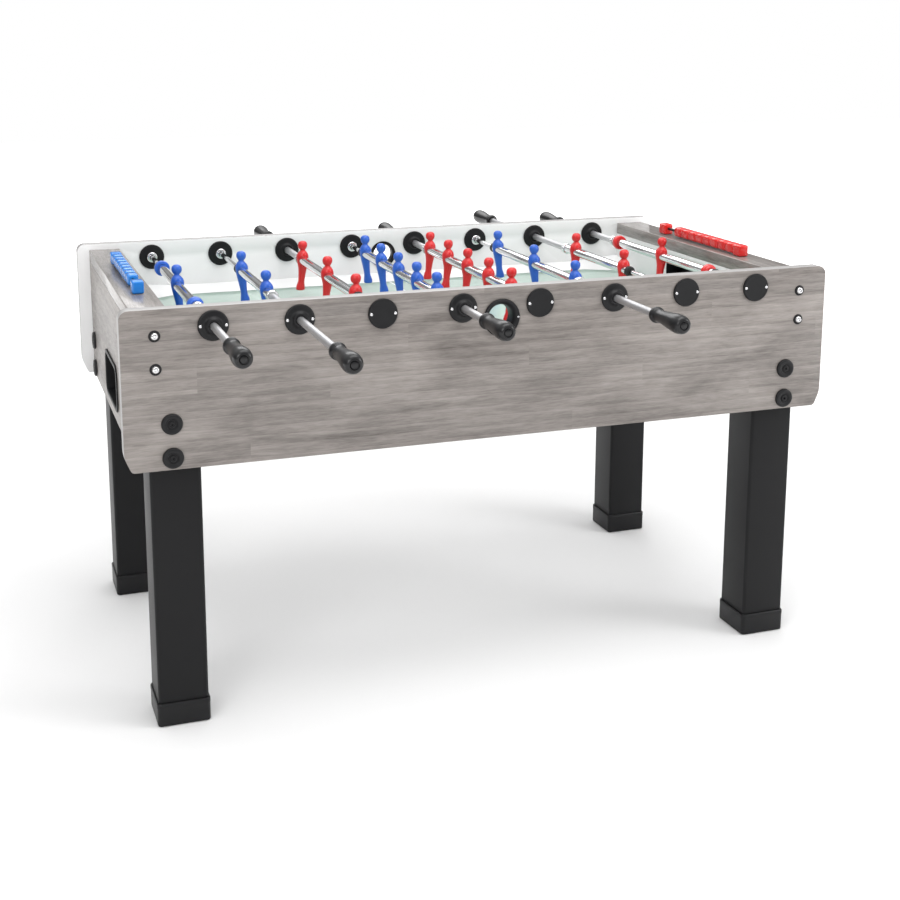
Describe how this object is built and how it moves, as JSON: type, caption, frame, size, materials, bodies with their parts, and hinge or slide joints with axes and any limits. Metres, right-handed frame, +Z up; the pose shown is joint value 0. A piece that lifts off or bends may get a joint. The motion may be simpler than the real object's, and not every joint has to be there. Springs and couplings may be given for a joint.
{
  "type": "foosball table",
  "caption": "Table football cabinet on square legs, with telescopic sliding and turning rods of figures, grips, goals, ball entries, ball returns and bead scorers.",
  "frame": {"origin": "on the floor under the middle of the table", "axes": "+X along the table from the blue goal to the red goal, +Y along the rods away from the blue team's grips, +Z up"},
  "size_m": [1.364, 1.456, 0.777],
  "materials": {
    "grey_oak": "grey oak laminate with a horizontal grain, satin",
    "white_laminate": "white laminate, gloss",
    "frosted_glass": "frosted, pale green-grey",
    "black_steel": "black powder coat, satin",
    "black_plastic": "black, semi-gloss",
    "chrome": "polished",
    "steel": "ground bright",
    "blue_plastic": "moulded, blue",
    "red_plastic": "moulded, red"
  },
  "bodies": {
    "cabinet": {"side_panel_front": "grey_oak", "side_panel_rear": "grey_oak", "end_panel_left": "grey_oak", "end_panel_right": "grey_oak", "end_ledge_left": "grey_oak", "end_ledge_right": "grey_oak", "goal_wall_left": "white_laminate", "goal_wall_right": "white_laminate", "playfield_glass": "frosted_glass", "field_ramp_front": "white_laminate", "field_ramp_rear": "white_laminate", "cabinet_floor": "white_laminate", "leg_front_left": "black_steel", "leg_front_right": "black_steel", "leg_rear_left": "black_steel", "leg_rear_right": "black_steel", "foot_cap_front_left": "black_plastic", "foot_cap_front_right": "black_plastic", "foot_cap_rear_left": "black_plastic", "foot_cap_rear_right": "black_plastic", "ball_entry_front": "black_plastic", "ball_entry_rear": "black_plastic", "ball_return_left": "black_plastic", "ball_return_right": "black_plastic", "scorer_left_rail": "blue_plastic", "scorer_right_rail": "red_plastic"},
    "rod1_guide": {"rod1_guide_rod": "steel"},
    "rod1_outer": {"rod1_tube": "chrome", "rod1_men": "blue_plastic", "rod1_grip": "black_plastic"},
    "rod2_guide": {"rod2_guide_rod": "steel"},
    "rod2_outer": {"rod2_tube": "chrome", "rod2_men": "blue_plastic", "rod2_grip": "black_plastic"},
    "rod3_guide": {"rod3_guide_rod": "steel"},
    "rod3_outer": {"rod3_tube": "chrome", "rod3_men": "red_plastic", "rod3_grip": "black_plastic"},
    "rod4_guide": {"rod4_guide_rod": "steel"},
    "rod4_outer": {"rod4_tube": "chrome", "rod4_men": "blue_plastic", "rod4_grip": "black_plastic"},
    "rod5_guide": {"rod5_guide_rod": "steel"},
    "rod5_outer": {"rod5_tube": "chrome", "rod5_men": "red_plastic", "rod5_grip": "black_plastic"},
    "rod6_guide": {"rod6_guide_rod": "steel"},
    "rod6_outer": {"rod6_tube": "chrome", "rod6_men": "blue_plastic", "rod6_grip": "black_plastic"},
    "rod7_guide": {"rod7_guide_rod": "steel"},
    "rod7_outer": {"rod7_tube": "chrome", "rod7_men": "red_plastic", "rod7_grip": "black_plastic"},
    "rod8_guide": {"rod8_guide_rod": "steel"},
    "rod8_outer": {"rod8_tube": "chrome", "rod8_men": "red_plastic", "rod8_grip": "black_plastic"},
    "scorer_left_beads": {"scorer_left_beads": "blue_plastic"},
    "scorer_right_beads": {"scorer_right_beads": "red_plastic"}
  },
  "joints": [
    {"name": "rod1_turn", "type": "hinge", "parent": "cabinet", "child": "rod1_guide", "pos_m": [-0.525, 0, 0.7315], "axis": [0, -1, 0], "continuous": true},
    {"name": "rod1_slide", "type": "slide", "parent": "rod1_guide", "child": "rod1_outer", "axis": [0, -1, 0], "range_m": [-0.105, 0.105]},
    {"name": "rod2_turn", "type": "hinge", "parent": "cabinet", "child": "rod2_guide", "pos_m": [-0.375, 0, 0.7315], "axis": [0, -1, 0], "continuous": true},
    {"name": "rod2_slide", "type": "slide", "parent": "rod2_guide", "child": "rod2_outer", "axis": [0, -1, 0], "range_m": [-0.172, 0.172]},
    {"name": "rod3_turn", "type": "hinge", "parent": "cabinet", "child": "rod3_guide", "pos_m": [-0.225, 0, 0.7315], "axis": [0, 1, 0], "continuous": true},
    {"name": "rod3_slide", "type": "slide", "parent": "rod3_guide", "child": "rod3_outer", "axis": [0, 1, 0], "range_m": [-0.11, 0.11]},
    {"name": "rod4_turn", "type": "hinge", "parent": "cabinet", "child": "rod4_guide", "pos_m": [-0.075, 0, 0.7315], "axis": [0, -1, 0], "continuous": true},
    {"name": "rod4_slide", "type": "slide", "parent": "rod4_guide", "child": "rod4_outer", "axis": [0, -1, 0], "range_m": [-0.078, 0.078]},
    {"name": "rod5_turn", "type": "hinge", "parent": "cabinet", "child": "rod5_guide", "pos_m": [0.075, 0, 0.7315], "axis": [0, 1, 0], "continuous": true},
    {"name": "rod5_slide", "type": "slide", "parent": "rod5_guide", "child": "rod5_outer", "axis": [0, 1, 0], "range_m": [-0.078, 0.078]},
    {"name": "rod6_turn", "type": "hinge", "parent": "cabinet", "child": "rod6_guide", "pos_m": [0.225, 0, 0.7315], "axis": [0, -1, 0], "continuous": true},
    {"name": "rod6_slide", "type": "slide", "parent": "rod6_guide", "child": "rod6_outer", "axis": [0, -1, 0], "range_m": [-0.11, 0.11]},
    {"name": "rod7_turn", "type": "hinge", "parent": "cabinet", "child": "rod7_guide", "pos_m": [0.375, 0, 0.7315], "axis": [0, 1, 0], "continuous": true},
    {"name": "rod7_slide", "type": "slide", "parent": "rod7_guide", "child": "rod7_outer", "axis": [0, 1, 0], "range_m": [-0.172, 0.172]},
    {"name": "rod8_turn", "type": "hinge", "parent": "cabinet", "child": "rod8_guide", "pos_m": [0.525, 0, 0.7315], "axis": [0, 1, 0], "continuous": true},
    {"name": "rod8_slide", "type": "slide", "parent": "rod8_guide", "child": "rod8_outer", "axis": [0, 1, 0], "range_m": [-0.105, 0.105]},
    {"name": "scorer_left_slide", "type": "slide", "parent": "cabinet", "child": "scorer_left_beads", "axis": [0, -1, 0], "range_m": [0, 0.041]},
    {"name": "scorer_right_slide", "type": "slide", "parent": "cabinet", "child": "scorer_right_beads", "axis": [0, 1, 0], "range_m": [0, 0.041]}
  ]
}
